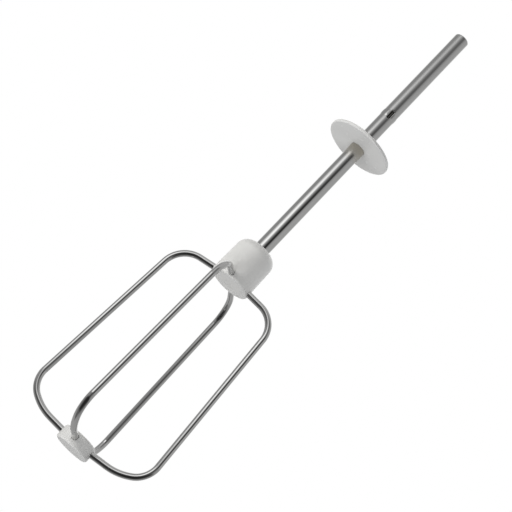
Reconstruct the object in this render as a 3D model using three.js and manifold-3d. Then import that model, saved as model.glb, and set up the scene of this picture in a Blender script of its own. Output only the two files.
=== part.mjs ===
// A beater for a hand mixer: a steel drive shaft with a splash collar, a moulded hub, two steel
// wire loops that cross at right angles, and a moulded clip that holds the crossing at the tip.
// Millimetres. +Z runs up the shaft, the origin is the centre of the shank's end face, so every
// height is negative. One wire loop lies in the XZ plane and the other in the YZ plane.
import * as THREE from 'three';
import { mergeVertices } from 'three/addons/utils/BufferGeometryUtils.js';
import Module from 'manifold-3d';

const wasm = await Module();
wasm.setup();

// ---- driving dimensions ----
const GAP = 0.3;                    // left between a moulding and the steel it grips

const SHAFT_RADIUS = 2.88;
const SHANK_CHAMFER = 0.6;
const TAIL_END_Z = -125.1;          // lower end of the shaft, inside the hub
const TAIL_GROOVE = { top: -118.6, bottom: -120.8, depth: 0.5 };
const TAIL_FLAT = { height: 3.2, half: 2.1 };
const EAR_Z = -42.7;                // the pressed drive ears
const EAR_TURN = THREE.MathUtils.degToRad(18);
const DIMPLE = { halfLength: 1.8, halfWidth: 1.0, depth: 0.8 };
const EAR = { halfLength: 1.4, halfWidth: 1.2, height: 0.17 };

const COLLAR_RADIUS = 12.75;
const COLLAR_UNDERSIDE_Z = -59.75;  // at the shaft
const COLLAR_FALL = 0.25;           // the underside is a flat cone, this much higher at the rim
const COLLAR_THICKNESS = 1.45;      // at the shaft
const COLLAR_RIM_ROUNDING = 0.4;
const COLLAR_BOSS = { radius: 4.7, height: 2.2 };

const HUB_TOP_Z = -111.6;
const HUB_BOTTOM_Z = -128.15;
const HUB_RADIUS = { top: 7.35, bottom: 7.7 };
const HUB_CROWN_ROUNDING = 3.8;
const HUB_FOOT_CHAMFER = 0.6;

const CLIP_TOP_Z = -199.65;
const CLIP_BOTTOM_Z = -204.75;
const CLIP_RADIUS = 6.45;
const CLIP_ROUNDING = { top: 0.8, bottom: 0.7 };

const WIRE_RADIUS = 1.16;
const CROSSING = {
  flatHalf: 0.6,                    // half the thickness of the wire where it is pressed flat
  spread: 1.25,                     // how much wider the pressed wire is than the round one
  offset: 0.75,                     // how far each loop's crossing lies from the clip's middle
  flatReach: 2.2,                   // the flat reaches this far from the axis
  roundFrom: 5.0,                   // and from here on the wire is round again
};
// Half of a loop, as corners [distance from the axis, height, bend radius], from its end in
// the hub, out through the hub's wall, down the side, and in along the lower arm to the clip.
const HALF_LOOP = [
  [5.3, -117.1, 0],
  [5.3, -126.45, 2.2],
  [21.4, -128.1, 9.4],
  [25.46, -195.9, 8.8],
  [16.8, -201.0, 19.0],
  [6.77, -201.75, 0],
];
const ARM_END_Z = -201.8;           // where the lower arms meet the middle of the clip

const ROUND_SIDES = 48;
const WIRE_SIDES = 12;
const BEND_STEP = 0.16;             // turn, in radians, between two sections of a bent wire

// ---- materials ----
const polishedSteel = new THREE.MeshStandardMaterial({ color: 0xb9babb, roughness: 0.2, metalness: 1.0 });
const whitePlastic = new THREE.MeshStandardMaterial({ color: 0xe2e2dd, roughness: 0.45, metalness: 0.0 });

// ---- solids ----
function toSolid(geometry) {
  const bare = geometry.clone();
  bare.deleteAttribute('normal');
  bare.deleteAttribute('uv');
  const merged = mergeVertices(bare);
  return new wasm.Manifold(new wasm.Mesh({
    numProp: 3,
    vertProperties: Float32Array.from(merged.getAttribute('position').array),
    triVerts: Uint32Array.from(merged.getIndex().array),
  }));
}

function toGeometry(solid) {
  const mesh = solid.getMesh();
  const geometry = new THREE.BufferGeometry();
  geometry.setAttribute('position', new THREE.BufferAttribute(mesh.vertProperties, 3));
  geometry.setIndex(new THREE.BufferAttribute(mesh.triVerts, 1));
  return geometry;
}

// A solid of revolution about Z. The profile runs anticlockwise as [radius, height] points.
function lathed(profile) {
  const points = profile.map(([radius, height]) => new THREE.Vector2(radius, height));
  return new THREE.LatheGeometry(points, ROUND_SIDES).rotateX(Math.PI / 2);
}

// Points of a rounded edge about [radius, height], turning from one angle to another.
function roundedEdge(radius, height, rounding, from, to, steps = 5) {
  return Array.from({ length: steps + 1 }, (_, i) => {
    const angle = from + (to - from) * i / steps;
    return [radius + rounding * Math.cos(angle), height + rounding * Math.sin(angle)];
  });
}

// ---- drive shaft ----
// The rod up to a given skin: 0 for the shaft itself, GAP for the space that it needs in the hub.
function shaftRod(skin) {
  const radius = SHAFT_RADIUS + skin;
  const grooveRadius = radius - TAIL_GROOVE.depth;
  const chamfer = skin > 0 ? 0 : SHANK_CHAMFER;
  const rod = toSolid(lathed([
    [0, TAIL_END_Z - skin],
    [radius, TAIL_END_Z - skin],
    [radius, TAIL_GROOVE.bottom + skin],
    [grooveRadius, TAIL_GROOVE.bottom + skin + TAIL_GROOVE.depth],
    [grooveRadius, TAIL_GROOVE.top - skin - TAIL_GROOVE.depth],
    [radius, TAIL_GROOVE.top - skin],
    [radius, -chamfer],
    [radius - chamfer, 0],
    [0, 0],
  ].filter(([r, z], i, all) => i === 0 || r !== all[i - 1][0] || z !== all[i - 1][1])));
  return [-1, 1].reduce((body, side) => {
    const cutter = new THREE.BoxGeometry(radius, 4 * radius, 2 * TAIL_FLAT.height);
    cutter.translate(side * (TAIL_FLAT.half + skin + radius / 2), 0, TAIL_END_Z);
    return body.subtract(toSolid(cutter));
  }, rod);
}

// An oval blob on the side of the shaft, reaching from one radius to another.
function blobOnShaft(angle, innerRadius, outerRadius, halfWidth, halfLength) {
  const blob = new THREE.SphereGeometry(1, 20, 14);
  blob.scale((outerRadius - innerRadius) / 2, halfWidth, halfLength);
  blob.translate((outerRadius + innerRadius) / 2, 0, EAR_Z);
  return toSolid(blob.rotateZ(angle));
}

function driveShaft() {
  let shaft = shaftRod(0);
  for (const half of [0, Math.PI]) {
    const earAngle = EAR_TURN + half;
    shaft = shaft.add(blobOnShaft(earAngle, SHAFT_RADIUS - 2 * EAR.height,
      SHAFT_RADIUS + EAR.height, EAR.halfWidth, EAR.halfLength));
  }
  for (const half of [0, Math.PI]) {
    const dimpleAngle = EAR_TURN - Math.PI / 2 + half;
    shaft = shaft.subtract(blobOnShaft(dimpleAngle, SHAFT_RADIUS - DIMPLE.depth,
      SHAFT_RADIUS + DIMPLE.depth, DIMPLE.halfWidth, DIMPLE.halfLength));
  }
  return toGeometry(shaft);
}

// ---- splash collar ----
function splashCollar() {
  const bore = SHAFT_RADIUS + GAP;
  const top = COLLAR_UNDERSIDE_Z + COLLAR_THICKNESS;
  const rim = COLLAR_RIM_ROUNDING;
  return lathed([
    [bore, COLLAR_UNDERSIDE_Z],
    ...roundedEdge(COLLAR_RADIUS - rim, COLLAR_UNDERSIDE_Z + COLLAR_FALL + rim, rim, -Math.PI / 2, 0, 3),
    ...roundedEdge(COLLAR_RADIUS - rim, top - rim, rim, 0, Math.PI / 2, 3),
    [COLLAR_BOSS.radius + 0.6, top],
    [COLLAR_BOSS.radius, top + 0.6],
    [COLLAR_BOSS.radius, top + COLLAR_BOSS.height - 0.4],
    [COLLAR_BOSS.radius - 0.4, top + COLLAR_BOSS.height],
    [bore, top + COLLAR_BOSS.height],
    [bore, COLLAR_UNDERSIDE_Z],
  ]);
}

// ---- wire loops ----
// A polyline whose corners are rounded to their bend radii, as [distance, height] points.
function bentLine(corners) {
  const points = [];
  corners.forEach(([x, z, bend], i) => {
    if (bend === 0) {
      points.push([x, z]);
      return;
    }
    const corner = new THREE.Vector2(x, z);
    const back = new THREE.Vector2(...corners[i - 1]).sub(corner).normalize();
    const ahead = new THREE.Vector2(...corners[i + 1]).sub(corner).normalize();
    const opening = Math.acos(back.dot(ahead));
    const centre = back.clone().add(ahead).normalize().multiplyScalar(bend / Math.sin(opening / 2)).add(corner);
    const start = back.clone().multiplyScalar(bend / Math.tan(opening / 2)).add(corner).sub(centre);
    const turn = Math.PI - opening;
    const sense = Math.sign(back.cross(ahead));
    const steps = Math.max(2, Math.round(turn / BEND_STEP));
    for (let step = 0; step <= steps; step += 1) {
      const spoke = start.clone().rotateAround(new THREE.Vector2(), -sense * turn * step / steps);
      points.push([centre.x + spoke.x, centre.y + spoke.y]);
    }
  });
  return points;
}

// 1 where a wire is pressed flat at the crossing, 0 where it is round, with a smooth change between.
function pressed(distance, z) {
  if (z > HUB_BOTTOM_Z) return 0;
  return 1 - THREE.MathUtils.smoothstep(Math.abs(distance), CROSSING.flatReach, CROSSING.roundFrom);
}

// The centre line of a whole loop. level is +1 for the upper crossing and -1 for the lower.
function loopLine(level) {
  const half = bentLine(HALF_LOOP);
  const crossing = [5.0, 4.4, 3.8, 3.2, 2.7, 2.2, 1.1, 0].map(
    (distance) => [distance, ARM_END_Z + level * CROSSING.offset * pressed(distance, ARM_END_Z)]);
  const right = [...half, ...crossing];
  const left = right.slice(0, -1).reverse().map(([distance, z]) => [-distance, z]);
  return [...right, ...left];
}

// A curve through given points, stepped point by point, so that straight runs take one step.
class PointCurve extends THREE.Curve {
  constructor(points) {
    super();
    this.points = points.map(([x, z]) => new THREE.Vector3(x, 0, z));
  }

  getPoint(t, target = new THREE.Vector3()) {
    const place = t * (this.points.length - 1);
    const index = Math.min(Math.floor(place), this.points.length - 2);
    return target.lerpVectors(this.points[index], this.points[index + 1], place - index);
  }

  getPointAt(u, target) {
    return this.getPoint(u, target);
  }

  getTangentAt(u, target) {
    return this.getTangent(u, target);
  }
}

// The wire swept along its centre line, pressed flat at the crossing. skin thickens it all over.
function sweptWire(line, level, skin) {
  const section = new THREE.Shape().absarc(0, 0, WIRE_RADIUS + skin, 0, 2 * Math.PI);
  const wire = new THREE.ExtrudeGeometry(section, {
    steps: line.length - 1,
    curveSegments: WIRE_SIDES / 2,
    extrudePath: new PointCurve(line),
  });
  const position = wire.getAttribute('position');
  const flatness = (CROSSING.flatHalf + skin) / (WIRE_RADIUS + skin);
  for (let i = 0; i < position.count; i += 1) {
    const amount = pressed(position.getX(i), position.getZ(i));
    if (amount > 0) {
      const middle = ARM_END_Z + level * CROSSING.offset * amount;
      position.setY(i, position.getY(i) * (1 + amount * (CROSSING.spread - 1)));
      position.setZ(i, middle + (position.getZ(i) - middle) * (1 + amount * (flatness - 1)));
    }
  }
  return wire;
}

function wireLoop(level) {
  return mergeVertices(sweptWire(loopLine(level), level, 0).deleteAttribute('normal').deleteAttribute('uv'));
}

// The space that a stretch of one loop needs in a moulding. keep picks the stretch's points, and
// a wire's end gets the gap too.
function wireSpace(level, keep) {
  const wireEndZ = HALF_LOOP[0][1];
  const line = loopLine(level).filter(keep).map(([distance, z]) => [distance, z === wireEndZ ? z + GAP : z]);
  const space = sweptWire(line, level, GAP);
  return toSolid(level > 0 ? space.rotateZ(Math.PI / 2) : space);
}

// ---- hub ----
function wireHub() {
  const crown = HUB_CROWN_ROUNDING;
  let hub = toSolid(lathed([
    [0, HUB_BOTTOM_Z],
    [HUB_RADIUS.bottom - HUB_FOOT_CHAMFER, HUB_BOTTOM_Z],
    [HUB_RADIUS.bottom, HUB_BOTTOM_Z + HUB_FOOT_CHAMFER],
    ...roundedEdge(HUB_RADIUS.top - crown, HUB_TOP_Z - crown, crown, 0, Math.PI / 2, 8),
    [0, HUB_TOP_Z],
  ])).subtract(shaftRod(GAP));
  for (const level of [-1, 1]) {
    for (const side of [-1, 1]) {
      const inHub = ([distance, z]) => side * distance > 0 && Math.abs(distance) < 2 * HUB_RADIUS.bottom
        && z > HUB_BOTTOM_Z;
      hub = hub.subtract(wireSpace(level, inHub));
    }
  }
  return toGeometry(hub);
}

// ---- tip clip ----
function tipClip() {
  const { top, bottom } = CLIP_ROUNDING;
  const body = toSolid(lathed([
    [0, CLIP_BOTTOM_Z],
    ...roundedEdge(CLIP_RADIUS - bottom, CLIP_BOTTOM_Z + bottom, bottom, -Math.PI / 2, 0),
    ...roundedEdge(CLIP_RADIUS - top, CLIP_TOP_Z - top, top, 0, Math.PI / 2),
    [0, CLIP_TOP_Z],
  ]));
  const nearTip = ([distance, z]) => Math.abs(distance) < CLIP_RADIUS + 6 && z < CLIP_TOP_Z;
  return toGeometry(body
    .subtract(wireSpace(-1, nearTip))
    .subtract(wireSpace(1, nearTip)));
}

// ---- the assembly ----
function piece(name, geometry, material) {
  const mesh = new THREE.Mesh(geometry, material);
  mesh.name = name;
  return mesh;
}

const beater = new THREE.Group();
const upperLoop = piece('upper_wire_loop', wireLoop(1), polishedSteel);
upperLoop.rotation.z = Math.PI / 2;
beater.add(
  piece('drive_shaft', driveShaft(), polishedSteel),
  piece('splash_collar', splashCollar(), whitePlastic),
  piece('wire_hub', wireHub(), whitePlastic),
  piece('lower_wire_loop', wireLoop(-1), polishedSteel),
  upperLoop,
  piece('tip_clip', tipClip(), whitePlastic),
);

export default beater;
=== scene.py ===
import math

import bmesh
import bpy
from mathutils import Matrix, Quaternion, Vector


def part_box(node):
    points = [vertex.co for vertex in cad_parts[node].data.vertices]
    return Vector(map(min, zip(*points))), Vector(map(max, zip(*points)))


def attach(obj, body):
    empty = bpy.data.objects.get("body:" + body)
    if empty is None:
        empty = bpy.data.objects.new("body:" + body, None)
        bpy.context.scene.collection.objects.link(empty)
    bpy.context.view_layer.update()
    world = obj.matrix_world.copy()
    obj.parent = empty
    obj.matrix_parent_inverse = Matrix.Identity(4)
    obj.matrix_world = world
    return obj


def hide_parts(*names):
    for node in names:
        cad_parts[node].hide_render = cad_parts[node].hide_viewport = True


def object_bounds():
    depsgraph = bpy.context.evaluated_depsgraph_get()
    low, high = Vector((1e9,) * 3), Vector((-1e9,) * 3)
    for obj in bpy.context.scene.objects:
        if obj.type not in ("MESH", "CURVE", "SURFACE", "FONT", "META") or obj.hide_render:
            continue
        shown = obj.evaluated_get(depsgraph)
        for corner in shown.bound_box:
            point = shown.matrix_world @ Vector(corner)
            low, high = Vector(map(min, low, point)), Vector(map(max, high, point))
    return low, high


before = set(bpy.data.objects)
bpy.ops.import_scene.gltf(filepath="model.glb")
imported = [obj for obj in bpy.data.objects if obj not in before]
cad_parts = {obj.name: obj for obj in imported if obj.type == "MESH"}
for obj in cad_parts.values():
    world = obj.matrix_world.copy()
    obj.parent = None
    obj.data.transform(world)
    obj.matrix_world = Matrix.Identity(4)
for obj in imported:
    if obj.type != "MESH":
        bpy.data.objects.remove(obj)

cad_low, cad_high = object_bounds()
MM = 0.001


# ---------------------------------------------------------------- camera
# The beater is looked at from a little below and nearly edge-on to one of its wire loops, with the
# frame turned so that the tip is at the lower left and the shank at the upper right.
AIM = Vector((1.19, -3.44, -115.55)) * MM
DISTANCE = 503.4 * MM
TURN, RISE, ROLL = (math.radians(degrees) for degrees in (16.03, -18.19, 43.69))
SENSOR_WIDTH, FOCAL_LENGTH = 36, 105.0
NEAREST_SEEN = 10 * MM


def outwards(turn, rise):
    """The direction that is turned from -Y towards +X and raised from level."""
    return Vector((math.sin(turn) * math.cos(rise), -math.cos(turn) * math.cos(rise), math.sin(rise)))


towards_camera = outwards(TURN, RISE)
bpy.ops.object.camera_add(location=AIM + DISTANCE * towards_camera)
camera = bpy.context.object
camera.rotation_mode = "QUATERNION"
camera.rotation_quaternion = (-towards_camera).to_track_quat("-Z", "Y") @ Quaternion((0, 0, 1), ROLL)
camera.data.sensor_width = SENSOR_WIDTH
camera.data.lens = FOCAL_LENGTH
camera.data.clip_start = NEAREST_SEEN
bpy.context.scene.camera = camera


# ---------------------------------------------------------------- floor and studio light
# A wide pale floor, lit from within, far below the beater, which hangs as it does from a mixer. The
# studio is white behind, bright at the front left, dark at the front right where the camera stands
# and grey at the sides, and soft boxes light the plastic.
FLOOR_WIDTH = 8
FLOOR_DROP = 0.6
FLOOR_COLOUR, FLOOR_ROUGHNESS = (0.05, 0.05, 0.05, 1), 0.8
FLOOR_GLOW_COLOUR, FLOOR_GLOW = (0.86, 0.86, 0.86, 1), 0.9

bpy.ops.mesh.primitive_plane_add(size=FLOOR_WIDTH, location=(0, 0, cad_low.z - FLOOR_DROP))
floor = bpy.context.object
floor.name = "floor"
floor.visible_glossy = floor.visible_diffuse = floor.visible_shadow = False
floor_finish = bpy.data.materials.new("pale_floor")
floor_finish.use_nodes = True
floor_shader = floor_finish.node_tree.nodes["Principled BSDF"]
floor_shader.inputs["Base Color"].default_value = FLOOR_COLOUR
floor_shader.inputs["Roughness"].default_value = FLOOR_ROUGHNESS
floor_shader.inputs["Emission Color"].default_value = FLOOR_GLOW_COLOUR
floor_shader.inputs["Emission Strength"].default_value = FLOOR_GLOW
floor.data.materials.append(floor_finish)

# Brightness round the beater at four heights, from below upwards, as (degrees from the camera's
# side, light), left of it negative.
DOWN_BAND = ((-180, 0.45), (-128, 0.4), (-90, 0.25), (-60, 0.1), (-40, 0.04), (0, 0.02), (40, 0.04),
             (60, 0.1), (90, 0.3), (128, 0.42), (180, 0.45))
LOW_BAND = ((-180, 0.5), (-150, 0.45), (-128, 0.38), (-80, 0.36), (-50, 0.3), (-36, 0.27), (-20, 0.14),
            (-4, 0.07), (12, 0.1), (28, 0.22), (60, 0.4), (128, 0.42), (150, 0.45), (180, 0.5))
MIDDLE_BAND = ((-180, 1.0), (-150, 1.0), (-128, 0.36), (-80, 0.34), (-60, 0.95), (-50, 1.45),
               (-36, 1.45), (-24, 0.6), (-8, 0.2), (8, 0.03), (24, 0.03), (40, 0.42), (60, 0.5),
               (128, 0.47), (150, 1.0), (180, 1.0))
HIGH_BAND = ((-180, 1.0), (-150, 1.0), (-128, 0.36), (-80, 0.34), (-60, 0.5), (-50, 0.62), (-36, 0.62),
             (-24, 0.45), (-8, 0.26), (8, 0.17), (24, 0.17), (40, 0.35), (60, 0.45), (128, 0.5),
             (150, 1.0), (180, 1.0))
STRAIGHT_DOWN, OVERHEAD, BACKDROP = (0.15, 0.15, 0.15), (0.5, 0.5, 0.5), (1.0, 1.0, 1.0)
# The heights, in degrees, between which one light gives way to the next.
TO_STRAIGHT_DOWN, TO_LOW, TO_MIDDLE, TO_HIGH, TO_OVERHEAD = (-62, -75), (-14, -2), (6, 13), (20, 28), (50, 65)

world = bpy.data.worlds.new("studio")
bpy.context.scene.world = world
world.use_nodes = True
sky = world.node_tree
sky.nodes.clear()


def add_node(tree, kind, inputs, **settings):
    """Adds a node, sets its properties and fills its inputs, each from a socket or with a value."""
    made = tree.nodes.new(kind)
    for name, value in settings.items():
        setattr(made, name, value)
    for place, value in inputs.items():
        if isinstance(value, bpy.types.NodeSocket):
            tree.links.new(value, made.inputs[place])
        else:
            made.inputs[place].default_value = value
    return made


def calculate(tree, operation, first, second=0.0):
    return add_node(tree, "ShaderNodeMath", {0: first, 1: second}, operation=operation).outputs[0]


def map_range(tree, value, start, end, low, high, way="LINEAR"):
    """Maps a value that runs from start to end onto low to high."""
    ends = {"Value": value, "From Min": start, "From Max": end, "To Min": low, "To Max": high}
    return add_node(tree, "ShaderNodeMapRange", ends, interpolation_type=way).outputs["Result"]


def mix_colours(tree, amount, first, second):
    first, second = ((*colour, 1) if isinstance(colour, tuple) else colour for colour in (first, second))
    return add_node(tree, "ShaderNodeMix", {0: amount, 6: first, 7: second}, data_type="RGBA").outputs[2]


def brightness_round(band):
    """The light of a band in the direction that is looked in."""
    ramp = add_node(sky, "ShaderNodeValToRGB", {0: around})
    elements = ramp.color_ramp.elements
    while len(elements) < len(band):
        elements.new(0.5)
    for element, (degrees, light) in zip(elements, band):
        element.position = degrees / 360 + 0.5
        element.color = (light, light, light, 1)
    return ramp.outputs[0]


def change_between(from_degrees, to_degrees, first, second):
    """The first light, changing smoothly to the second from one height to another."""
    start, end = (math.sin(math.radians(degrees)) for degrees in (from_degrees, to_degrees))
    return mix_colours(sky, map_range(sky, up, start, end, 0.0, 1.0, "SMOOTHSTEP"), first, second)


direction = add_node(sky, "ShaderNodeTexCoord", {}).outputs["Generated"]
east, north, up = add_node(sky, "ShaderNodeSeparateXYZ", {0: direction}).outputs
heading = calculate(sky, "ARCTAN2", east, calculate(sky, "MULTIPLY", north, -1.0))
from_camera = calculate(sky, "SUBTRACT", heading, TURN)
turns = calculate(sky, "DIVIDE", from_camera, 2 * math.pi)
around = calculate(sky, "FRACT", calculate(sky, "ADD", turns, 0.5))
lit = change_between(*TO_STRAIGHT_DOWN, brightness_round(DOWN_BAND), STRAIGHT_DOWN)
lit = change_between(*TO_LOW, lit, brightness_round(LOW_BAND))
lit = change_between(*TO_MIDDLE, lit, brightness_round(MIDDLE_BAND))
lit = change_between(*TO_HIGH, lit, brightness_round(HIGH_BAND))
lit = change_between(*TO_OVERHEAD, lit, OVERHEAD)

in_view = add_node(sky, "ShaderNodeLightPath", {}).outputs["Is Camera Ray"]
background = add_node(sky, "ShaderNodeBackground", {"Color": mix_colours(sky, in_view, lit, BACKDROP)})
add_node(sky, "ShaderNodeOutputWorld", {"Surface": background.outputs[0]})
bpy.context.scene.view_settings.view_transform = "Standard"

# Soft boxes, as (name, degrees from the camera's side, height in degrees, width, power, colour). They
# light the plastic only, and the steel doesn't mirror them.
SOFT_BOXES = (
    ("key_light", -66, -5, 0.45, 3.7, (1.0, 0.99, 0.965)),
    ("front_light", -8, -55, 0.8, 4.6, (0.985, 0.99, 1.0)),
    ("side_light", 100, 0, 0.6, 0.9, (0.93, 0.96, 1.0)),
    ("back_light", 120, 50, 0.8, 3.2, (1.0, 1.0, 1.0)),
)
BOX_DISTANCE = 0.9

for name, side_degrees, height_degrees, width, power, colour in SOFT_BOXES:
    towards_box = outwards(TURN + math.radians(side_degrees), math.radians(height_degrees))
    bpy.ops.object.light_add(type="AREA", location=AIM + BOX_DISTANCE * towards_box)
    soft_box = bpy.context.object
    soft_box.name = name
    soft_box.rotation_euler = towards_box.to_track_quat("Z", "Y").to_euler()
    soft_box.data.shape = "DISK"
    soft_box.data.size = width
    soft_box.data.energy = power
    soft_box.data.color = colour
    soft_box.visible_camera = soft_box.visible_glossy = False


# ---------------------------------------------------------------- drive shaft
# A drawn and polished stainless rod. Its shank end is tumbled to a small round edge, and a press
# dents it from two sides, which raises a lip on each side of a dent and pushes out one drive ear
# between the dents on each side.
SHAFT_RADIUS = 2.88 * MM
SHAFT_SIDES = 192
SHANK_ROUNDING, TAIL_ROUNDING = 0.6 * MM, 0.2 * MM
EAR_Z = -42.7 * MM
EAR_TURN, LIP_TURN = math.radians(18), math.radians(34)
# What the press does, as (push outwards, half width, half length, how far the metal is drawn along).
EAR = (0.12 * MM, 0.1 * MM, 0.5 * MM, 1.3 * MM)
LIP = (0.1 * MM, 0.1 * MM, 0.7 * MM, 0.9 * MM)
DENT = (-0.8 * MM, 0.2 * MM, 1.35 * MM, 0.7 * MM)
PRESSED_BAND = 4.0 * MM
PRESSED_ROWS = 90
PRESSED_SMOOTH_ANGLE, SMOOTH_ANGLE = math.radians(60), math.radians(32)
SAME_PLACE, NEAR_PLACE = 1e-6, 1e-5

STEEL_SHADES = ((0.600, 0.598, 0.590), (0.650, 0.650, 0.645))
STEEL_CLOUDS = 420
POLISH = (0.07, 0.11)
DRAW_LINES, DRAW_STRETCH, DRAW_DEPTH = 5200, 0.02, 0.4e-6
SHANK_WEAR, SHANK_WEAR_LENGTH = 0.07, 3 * MM
# Painted shade in the dents: steel sunk below the shaft's surface near the ears is darkened to this colour,
# fully at the deeper depth.
DENT_PAINTED_SHADE_COLOUR = (0.15, 0.147, 0.138)
DENT_SHADE_STARTS_DEPTH, DENT_SHADE_FULL_DEPTH = 0.05 * MM, 0.55 * MM
# Painted shade under the collar: the shaft is tinted darker brown and made duller between these heights,
# fading in from below.
UNDER_COLLAR_SHADE_COLOUR, UNDER_COLLAR_DULLNESS = (0.50, 0.47, 0.415), 0.14
UNDER_COLLAR_SHADE_BEGINS_Z, UNDER_COLLAR_SHADE_FULL_Z, UNDER_COLLAR_SHADE_TOP_Z = -66.6 * MM, -61.6 * MM, -59.7 * MM
NOISE_LOW, NOISE_HIGH = 0.35, 0.65


def deselect_everything():
    if bpy.context.object and bpy.context.object.mode != "OBJECT":
        bpy.ops.object.mode_set(mode="OBJECT")
    bpy.ops.object.select_all(action="DESELECT")


def place_in_mesh(piece, name):
    """Moves the piece's place into its mesh and names it."""
    bpy.ops.object.transform_apply(location=True, rotation=True, scale=True)
    piece.name = piece.data.name = name


def select_where(piece, kind, wanted):
    """In edit mode, selects the verts, edges or faces for which wanted(element) is true."""
    bpy.context.tool_settings.mesh_select_mode = (kind == "verts", kind == "edges", kind == "faces")
    bpy.ops.mesh.select_all(action="DESELECT")
    mesh = bmesh.from_edit_mesh(piece.data)
    for element in getattr(mesh, kind):
        if wanted(element):
            element.select = True
    mesh.select_flush_mode()
    bmesh.update_edit_mesh(piece.data)


def ring_at(height):
    """Picks the edges that lie at a height."""
    return lambda edge: all(abs(v.co.z - height) < SAME_PLACE for v in edge.verts)


def cylinder(name, radius, low_z, high_z, vertices=96):
    deselect_everything()
    bpy.ops.mesh.primitive_cylinder_add(
        vertices=vertices, radius=radius, depth=high_z - low_z, location=(0, 0, (low_z + high_z) / 2))
    piece = bpy.context.object
    place_in_mesh(piece, name)
    return piece


def finish_mesh(piece, smooth_angle=SMOOTH_ANGLE):
    """Points every face outwards and shades the piece smooth between its sharp edges."""
    bpy.ops.object.mode_set(mode="EDIT")
    bpy.ops.mesh.select_all(action="SELECT")
    bpy.ops.mesh.remove_doubles(threshold=SAME_PLACE)
    bpy.ops.mesh.normals_make_consistent(inside=False)
    bpy.ops.object.mode_set(mode="OBJECT")
    bpy.ops.object.shade_smooth_by_angle(angle=smooth_angle)
    flat = piece.modifiers.new("flat faces", "WEIGHTED_NORMAL")
    flat.keep_sharp = True
    bpy.ops.object.modifier_apply(modifier=flat.name)


def press_shaft(facing, push, half_width, half_length, reach):
    """Moves a small patch of the shaft's surface in or out and draws the metal round it along."""
    outward = Vector((math.cos(facing), math.sin(facing), 0))
    across = Vector((-outward.y, outward.x, 0))
    select_where(shaft, "verts", lambda v: v.co.dot(outward) > 0 and abs(v.co.dot(across)) < half_width
                 and abs(v.co.z - EAR_Z) < half_length)
    bpy.ops.transform.translate(value=outward * push, use_proportional_edit=True,
                                proportional_edit_falloff="SMOOTH", proportional_size=reach)


shaft_low, shaft_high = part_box("drive_shaft")
shaft = cylinder("shaft_rod", SHAFT_RADIUS, shaft_low.z, shaft_high.z, vertices=SHAFT_SIDES)
bpy.ops.object.mode_set(mode="EDIT")
for band_edge in (EAR_Z - PRESSED_BAND, EAR_Z + PRESSED_BAND):
    bpy.ops.mesh.select_all(action="SELECT")
    bpy.ops.mesh.bisect(plane_co=(0, 0, band_edge), plane_no=(0, 0, 1))
select_where(shaft, "edges", lambda e: abs((e.verts[0].co.z + e.verts[1].co.z) / 2 - EAR_Z) < NEAR_PLACE
             and abs(e.verts[0].co.z - e.verts[1].co.z) > PRESSED_BAND)
bpy.ops.mesh.subdivide(number_cuts=PRESSED_ROWS - 1)
for half_turn in (0, math.pi):
    ear, dent = EAR_TURN + half_turn, EAR_TURN + half_turn - math.pi / 2
    press_shaft(ear, *EAR)
    for side in (-1, 1):
        press_shaft(dent + side * LIP_TURN, *LIP)
    press_shaft(dent, *DENT)
select_where(shaft, "edges", ring_at(shaft_high.z))
bpy.ops.mesh.bevel(offset=SHANK_ROUNDING, segments=6, affect="EDGES")
select_where(shaft, "edges", ring_at(shaft_low.z))
bpy.ops.mesh.bevel(offset=TAIL_ROUNDING, segments=2, affect="EDGES")
finish_mesh(shaft, PRESSED_SMOOTH_ANGLE)


def new_finish(name):
    """A material, with its nodes, its shader and the place on the piece."""
    finish = bpy.data.materials.new(name)
    finish.use_nodes = True
    tree = finish.node_tree
    place = add_node(tree, "ShaderNodeTexCoord", {}).outputs["Object"]
    return finish, tree, tree.nodes["Principled BSDF"], place


def noise(tree, place, scale, detail=3.0):
    inputs = {"Vector": place, "Scale": scale, "Detail": detail}
    return add_node(tree, "ShaderNodeTexNoise", inputs).outputs["Fac"]


def spread_over(tree, noise_value, low, high):
    """Maps the usual range of a noise onto low to high."""
    return map_range(tree, noise_value, NOISE_LOW, NOISE_HIGH, low, high)


def roughen(tree, shader, relief, depth):
    """Gives the surface a relief of a real depth."""
    bump = add_node(tree, "ShaderNodeBump", {"Height": relief, "Distance": depth})
    tree.links.new(bump.outputs["Normal"], shader.inputs["Normal"])


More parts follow.
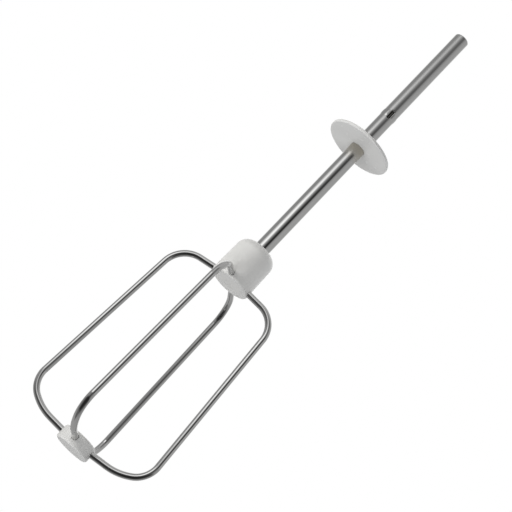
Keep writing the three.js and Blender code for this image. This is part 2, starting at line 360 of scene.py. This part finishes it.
def polished_steel():
    """Polished along its length and duller on the shank, with painted shade darkening the steel in the
    dents and a painted brown shade on the shaft just under the collar, where it is also duller."""
    finish, tree, shader, place = new_finish("polished_steel")
    shader.inputs["Metallic"].default_value = 1.0
    x, y, z = add_node(tree, "ShaderNodeSeparateXYZ", {"Vector": place}).outputs
    stretched = add_node(tree, "ShaderNodeMapping", {"Vector": place, "Scale": (1, 1, DRAW_STRETCH)})
    draw_lines = noise(tree, stretched.outputs["Vector"], DRAW_LINES)
    bright = mix_colours(tree, noise(tree, place, STEEL_CLOUDS), *STEEL_SHADES)

    flat_place = add_node(tree, "ShaderNodeCombineXYZ", {"X": x, "Y": y}).outputs[0]
    from_axis = add_node(tree, "ShaderNodeVectorMath", {0: flat_place}, operation="LENGTH").outputs["Value"]
    # Painted shade: the steel sunk into the dents is darkened.
    sunk = map_range(tree, from_axis, SHAFT_RADIUS - DENT_SHADE_FULL_DEPTH,
                     SHAFT_RADIUS - DENT_SHADE_STARTS_DEPTH, 1.0, 0.0)
    from_ears = calculate(tree, "ABSOLUTE", calculate(tree, "SUBTRACT", z, EAR_Z))
    beside = map_range(tree, from_ears, PRESSED_BAND / 2, PRESSED_BAND, 1.0, 0.0)
    dent_shaded = mix_colours(tree, calculate(tree, "MULTIPLY", sunk, beside), bright, DENT_PAINTED_SHADE_COLOUR)

    # Painted shade: the steel just under the collar is tinted darker brown.
    above_start = map_range(tree, z, UNDER_COLLAR_SHADE_BEGINS_Z, UNDER_COLLAR_SHADE_FULL_Z, 0.0, 1.0)
    below_top = map_range(tree, z, UNDER_COLLAR_SHADE_TOP_Z, UNDER_COLLAR_SHADE_TOP_Z + MM, 1.0, 0.0)
    under_collar_shade = calculate(tree, "MULTIPLY", above_start, below_top)
    tree.links.new(mix_colours(tree, under_collar_shade, dent_shaded, UNDER_COLLAR_SHADE_COLOUR), shader.inputs["Base Color"])

    worn = map_range(tree, z, EAR_Z, EAR_Z + SHANK_WEAR_LENGTH, 0.0, SHANK_WEAR)
    drawn = calculate(tree, "ADD", spread_over(tree, draw_lines, *POLISH), worn)
    dulled_under_collar = calculate(tree, "ADD", drawn, calculate(tree, "MULTIPLY", under_collar_shade, UNDER_COLLAR_DULLNESS))
    tree.links.new(dulled_under_collar, shader.inputs["Roughness"])
    roughen(tree, shader, draw_lines, DRAW_DEPTH)
    return finish


shaft.data.materials.append(polished_steel())
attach(shaft, "root")
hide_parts("drive_shaft")


# ---------------------------------------------------------------- wire loops
# Two lengths of bright drawn wire, each bent into a loop. Both ends turn up inside the hub, and
# the lower arms meet at the tip, where the wire is pressed flat so that one loop passes over
# the other within the thin clip.
WIRE_RADIUS = 1.16 * MM
WIRE_SIDES = 32
FIRST_END = (5.3 * MM, -117.1 * MM)
# The corners of half a loop, as (distance from the axis, height, bend radius).
BENDS = (
    (5.3 * MM, -126.45 * MM, 2.2 * MM),
    (21.4 * MM, -128.1 * MM, 9.4 * MM),
    (25.46 * MM, -195.9 * MM, 8.8 * MM),
    (16.8 * MM, -201.0 * MM, 19.0 * MM),
)
ARM_END = (6.77 * MM, -201.75 * MM)
CROSSING_Z = -201.8 * MM
CROSSING_OFFSET = 0.75 * MM
PRESSED_THIN, PRESSED_WIDE = 0.52, 1.25
ROUND_UP_TO = 5.0 * MM
# How far the wire is pressed flat, as (distance from the axis, amount).
FLATTENING = ((4.1 * MM, 0.3), (3.2 * MM, 0.75), (2.2 * MM, 1.0), (0.0, 1.0))
NEAR_AXIS = 0.5 * MM
BEND_STEP = math.radians(3.5)

WIRE_SHADES = ((0.615, 0.612, 0.602), (0.665, 0.665, 0.660))
WIRE_CLOUDS = 500
WIRE_POLISH = (0.05, 0.09)
HANDLING_MARKS, HANDLING_DEPTH = 4200, 0.5e-6


def selected_middle():
    mesh = bmesh.from_edit_mesh(bpy.context.object.data)
    chosen = [v.co for v in mesh.verts if v.select]
    return sum(chosen, Vector()) / len(chosen)


def draw_out(to_x, to_z):
    """Lengthens the wire from its open end, straight to a place in its plane."""
    last = selected_middle()
    bpy.ops.mesh.extrude_region_move(TRANSFORM_OT_translate={"value": (to_x - last.x, 0, to_z - last.z)})


def bend_round(before, corner, after, radius):
    """Draws the wire out to a corner and bends it round, as a bending pin does."""
    here = Vector(corner)
    back = (Vector(before) - here).normalized()
    ahead = (Vector(after) - here).normalized()
    opening = back.angle(ahead)
    start = here + back * radius / math.tan(opening / 2)
    pin = here + (back + ahead).normalized() * radius / math.sin(opening / 2)
    draw_out(start.x, start.y)
    turn = math.pi - opening
    sense = -1 if back.x * ahead.y - back.y * ahead.x > 0 else 1
    bpy.ops.mesh.spin(steps=max(3, round(turn / BEND_STEP)), angle=sense * turn,
                      center=(pin.x, 0, pin.y), axis=(0, 1, 0))


def bent_wire(name, radius, corners, first, last):
    """A round wire from its first end through rounded corners to its last end, left in edit mode."""
    deselect_everything()
    bpy.ops.mesh.primitive_circle_add(vertices=WIRE_SIDES, radius=radius, fill_type="NGON",
                                      location=(first[0], 0, first[1]))
    wire = bpy.context.object
    place_in_mesh(wire, name)
    bpy.ops.object.mode_set(mode="EDIT")
    bpy.context.tool_settings.mesh_select_mode = (False, False, True)
    bpy.ops.mesh.select_all(action="SELECT")
    stops = [first, *(corner[:2] for corner in corners), last]
    for before, here, after, corner in zip(stops, stops[1:], stops[2:], corners):
        bend_round(before, here, after, corner[2])
    draw_out(*last)
    return wire


def wire_loop(name, level, radius=WIRE_RADIUS):
    """A whole loop: level is 1 for the one that crosses over the other and -1 for the one below."""
    wire = bent_wire(name, radius, BENDS, FIRST_END, ARM_END)
    draw_out(ROUND_UP_TO, CROSSING_Z)
    wide_before, thin_before = 1.0, 1.0
    for distance, amount in FLATTENING:
        wide = 1 + amount * (PRESSED_WIDE - 1)
        thin = 1 + amount * (PRESSED_THIN - 1)
        draw_out(distance, CROSSING_Z + level * CROSSING_OFFSET * amount)
        bpy.ops.transform.resize(value=(1, wide / wide_before, thin / thin_before),
                                 center_override=selected_middle())
        wide_before, thin_before = wide, thin
    select_where(wire, "verts", lambda v: v.co.z < CROSSING_Z + 2 * WIRE_RADIUS and v.co.x < NEAR_AXIS)
    bpy.ops.transform.resize(value=(0, 1, 1), center_override=(0, 0, 0))
    select_where(wire, "faces", lambda f: all(abs(v.co.x) < SAME_PLACE for v in f.verts))
    bpy.ops.mesh.delete(type="FACE")
    bpy.ops.object.mode_set(mode="OBJECT")
    mirror = wire.modifiers.new("other half", "MIRROR")
    mirror.use_axis = (True, False, False)
    mirror.merge_threshold = NEAR_PLACE
    bpy.ops.object.modifier_apply(modifier=mirror.name)
    finish_mesh(wire)
    return wire


def select_only(piece):
    deselect_everything()
    piece.select_set(True)
    bpy.context.view_layer.objects.active = piece


def turn_quarters(piece, quarters):
    """Turns a piece about the shaft's axis by quarter turns, within its mesh."""
    piece.rotation_euler.z = quarters * math.pi / 2
    select_only(piece)
    bpy.ops.object.transform_apply(location=False, rotation=True, scale=False)


def bright_wire():
    """Drawn bright, with fine marks from handling all over."""
    finish, tree, shader, place = new_finish("bright_wire")
    shader.inputs["Metallic"].default_value = 1.0
    handling = noise(tree, place, HANDLING_MARKS, detail=5.0)
    tint = mix_colours(tree, noise(tree, place, WIRE_CLOUDS), *WIRE_SHADES)
    tree.links.new(tint, shader.inputs["Base Color"])
    tree.links.new(spread_over(tree, handling, *WIRE_POLISH), shader.inputs["Roughness"])
    roughen(tree, shader, handling, HANDLING_DEPTH)
    return finish


wire_steel = bright_wire()
for name, node, level, quarters in (("lower_loop_wire", "lower_wire_loop", -1, 0),
                                    ("upper_loop_wire", "upper_wire_loop", 1, 1)):
    loop = wire_loop(name, level)
    turn_quarters(loop, quarters)
    loop.data.materials.append(wire_steel)
    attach(loop, "root")
    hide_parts(node)


# ---------------------------------------------------------------- hub
# A solid acetal moulding round the lower end of the shaft and the four upturned wire ends,
# slightly tapered for the mould, with a large round crown, a lightly rounded foot and a shallow
# recess in its underside.
HUB_TOP_RADIUS, HUB_FOOT_RADIUS = 7.35 * MM, 7.7 * MM
CROWN_ROUNDING, FOOT_ROUNDING = 3.8 * MM, 0.8 * MM
RECESS_RADIUS, RECESS_SLOPE, RECESS_DEPTH = 3.0 * MM, 0.9 * MM, 0.35 * MM
SNUG = 0.05 * MM
CHANNEL_REACH = 14 * MM
ABOVE_HUB = 5 * MM

HUB_SHADES = ((0.785, 0.783, 0.768), (0.825, 0.822, 0.805))
SATIN_DULLNESS, DULLNESS_SPREAD = 0.42, 0.04
FLOW_CLOUDS = 260
MOULD_GRAIN, MOULD_GRAIN_DEPTH = 6500, 0.5e-6


def cut_away(piece, cutter):
    """Cuts one piece out of another, removes the cutter and leaves the piece selected."""
    select_only(piece)
    cut = piece.modifiers.new("cut", "BOOLEAN")
    cut.operation = "DIFFERENCE"
    cut.solver = "EXACT"
    cut.object = cutter
    bpy.ops.object.modifier_apply(modifier=cut.name)
    bpy.data.objects.remove(cutter)


def moulded_plastic(name, shades, dullness):
    """White moulding compound: hardly visible flow clouds and a fine satin grain from the mould."""
    finish, tree, shader, place = new_finish(name)
    clouds = noise(tree, place, FLOW_CLOUDS)
    grain = noise(tree, place, MOULD_GRAIN, detail=4.0)
    roughness = spread_over(tree, clouds, dullness - DULLNESS_SPREAD, dullness + DULLNESS_SPREAD)
    tree.links.new(mix_colours(tree, clouds, *shades), shader.inputs["Base Color"])
    tree.links.new(roughness, shader.inputs["Roughness"])
    roughen(tree, shader, grain, MOULD_GRAIN_DEPTH)
    return finish


hub_low, hub_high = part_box("wire_hub")
hub = cylinder("hub_moulding", HUB_FOOT_RADIUS, hub_low.z, hub_high.z)
bpy.ops.object.mode_set(mode="EDIT")
select_where(hub, "edges", ring_at(hub_high.z))
narrowing = HUB_TOP_RADIUS / HUB_FOOT_RADIUS
bpy.ops.transform.resize(value=(narrowing, narrowing, 1), center_override=(0, 0, hub_high.z))
select_where(hub, "edges", ring_at(hub_high.z))
bpy.ops.mesh.bevel(offset=CROWN_ROUNDING, segments=18, affect="EDGES")
select_where(hub, "edges", ring_at(hub_low.z))
bpy.ops.mesh.bevel(offset=FOOT_ROUNDING, segments=5, affect="EDGES")
select_where(hub, "faces", lambda f: f.normal.z < -0.99)
bpy.ops.mesh.inset(thickness=HUB_FOOT_RADIUS - FOOT_ROUNDING - RECESS_RADIUS)
bpy.ops.mesh.inset(thickness=RECESS_SLOPE, depth=-RECESS_DEPTH)

exit_x, exit_z = BENDS[0][:2]
arm_x, arm_z = BENDS[1][:2]
channel_start = (FIRST_END[0], FIRST_END[1] + SNUG)
channel_end = (CHANNEL_REACH, exit_z + (arm_z - exit_z) * (CHANNEL_REACH - exit_x) / (arm_x - exit_x))
for quarter in range(4):
    channel = bent_wire("channel", WIRE_RADIUS + SNUG, BENDS[:1], channel_start, channel_end)
    finish_mesh(channel)
    turn_quarters(channel, quarter)
    cut_away(hub, channel)
cut_away(hub, cylinder("bore", SHAFT_RADIUS + SNUG, shaft_low.z - SNUG, hub_high.z + ABOVE_HUB))
finish_mesh(hub)
hub.data.materials.append(moulded_plastic("white_acetal", HUB_SHADES, SATIN_DULLNESS))
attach(hub, "root")
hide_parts("wire_hub")


# ---------------------------------------------------------------- tip clip
# A short round acetal moulding round the place where the two loops cross, coloured a little greyer
# than the hub as painted shade for the wires' shadow. The wires run through it in close channels.
CLIP_ROUNDING_TOP, CLIP_ROUNDING_BOTTOM = 0.8 * MM, 0.7 * MM
# Painted shade: the hub's acetal in a greyer colour, standing in for the shadow of the wires on the clip.
CLIP_SHADED_TONES = ((0.715, 0.713, 0.70), (0.755, 0.753, 0.738))

clip_low, clip_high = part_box("tip_clip")
clip = cylinder("tip_moulding", clip_high.x, clip_low.z, clip_high.z)
bpy.ops.object.mode_set(mode="EDIT")
select_where(clip, "edges", ring_at(clip_high.z))
bpy.ops.mesh.bevel(offset=CLIP_ROUNDING_TOP, segments=6, affect="EDGES")
select_where(clip, "edges", ring_at(clip_low.z))
bpy.ops.mesh.bevel(offset=CLIP_ROUNDING_BOTTOM, segments=6, affect="EDGES")
for level, quarters in ((-1, 0), (1, 1)):
    channel = wire_loop("channel", level, WIRE_RADIUS + SNUG)
    turn_quarters(channel, quarters)
    cut_away(clip, channel)
finish_mesh(clip)
clip.data.materials.append(moulded_plastic("white_acetal_painted_shade", CLIP_SHADED_TONES, SATIN_DULLNESS))
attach(clip, "root")
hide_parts("tip_clip")


# ---------------------------------------------------------------- splash collar
# A thin round polypropylene collar pushed onto the shaft, a very flat cone below, with a low boss
# above that grips the shaft.
BOSS_RADIUS, BOSS_HEIGHT, BOSS_ROUNDING = 4.7 * MM, 2.2 * MM, 0.4 * MM
UNDERSIDE_FALL = 0.25 * MM
RIM_TOP, RIM_ROUNDING = 1.45 * MM, 0.4 * MM
AT_RIM = 0.1 * MM
COLLAR_SHADES = ((0.79, 0.79, 0.778), (0.825, 0.825, 0.812))
COLLAR_DULLNESS = 0.24

collar_low, collar_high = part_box("splash_collar")
collar_radius = collar_high.x
rim_low, rim_top = collar_low.z + UNDERSIDE_FALL, collar_low.z + RIM_TOP
collar = cylinder("collar_disc", collar_radius, rim_low, rim_top, vertices=160)
bpy.ops.object.mode_set(mode="EDIT")
select_where(collar, "faces", lambda f: f.normal.z > 0.9)
bpy.ops.mesh.inset(thickness=collar_radius - BOSS_RADIUS)
bpy.ops.mesh.extrude_region_move(TRANSFORM_OT_translate={"value": (0, 0, BOSS_HEIGHT)})
select_where(collar, "edges", ring_at(rim_top + BOSS_HEIGHT))
bpy.ops.mesh.bevel(offset=BOSS_ROUNDING, segments=4, affect="EDGES")
select_where(collar, "edges", lambda e: (ring_at(rim_low)(e) or ring_at(rim_top)(e))
             and e.verts[0].co.xy.length > collar_radius - AT_RIM)
bpy.ops.mesh.bevel(offset=RIM_ROUNDING, segments=5, affect="EDGES")
select_where(collar, "faces", lambda f: f.normal.z < -0.99)
bpy.ops.mesh.inset(thickness=collar_radius - RIM_ROUNDING - BOSS_RADIUS / 2)
bpy.ops.transform.translate(value=(0, 0, -UNDERSIDE_FALL))
cut_away(collar, cylinder("bore", SHAFT_RADIUS + SNUG, collar_low.z - MM, collar_high.z + MM))
finish_mesh(collar)
collar.data.materials.append(moulded_plastic("white_polypropylene", COLLAR_SHADES, COLLAR_DULLNESS))
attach(collar, "root")
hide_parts("splash_collar")
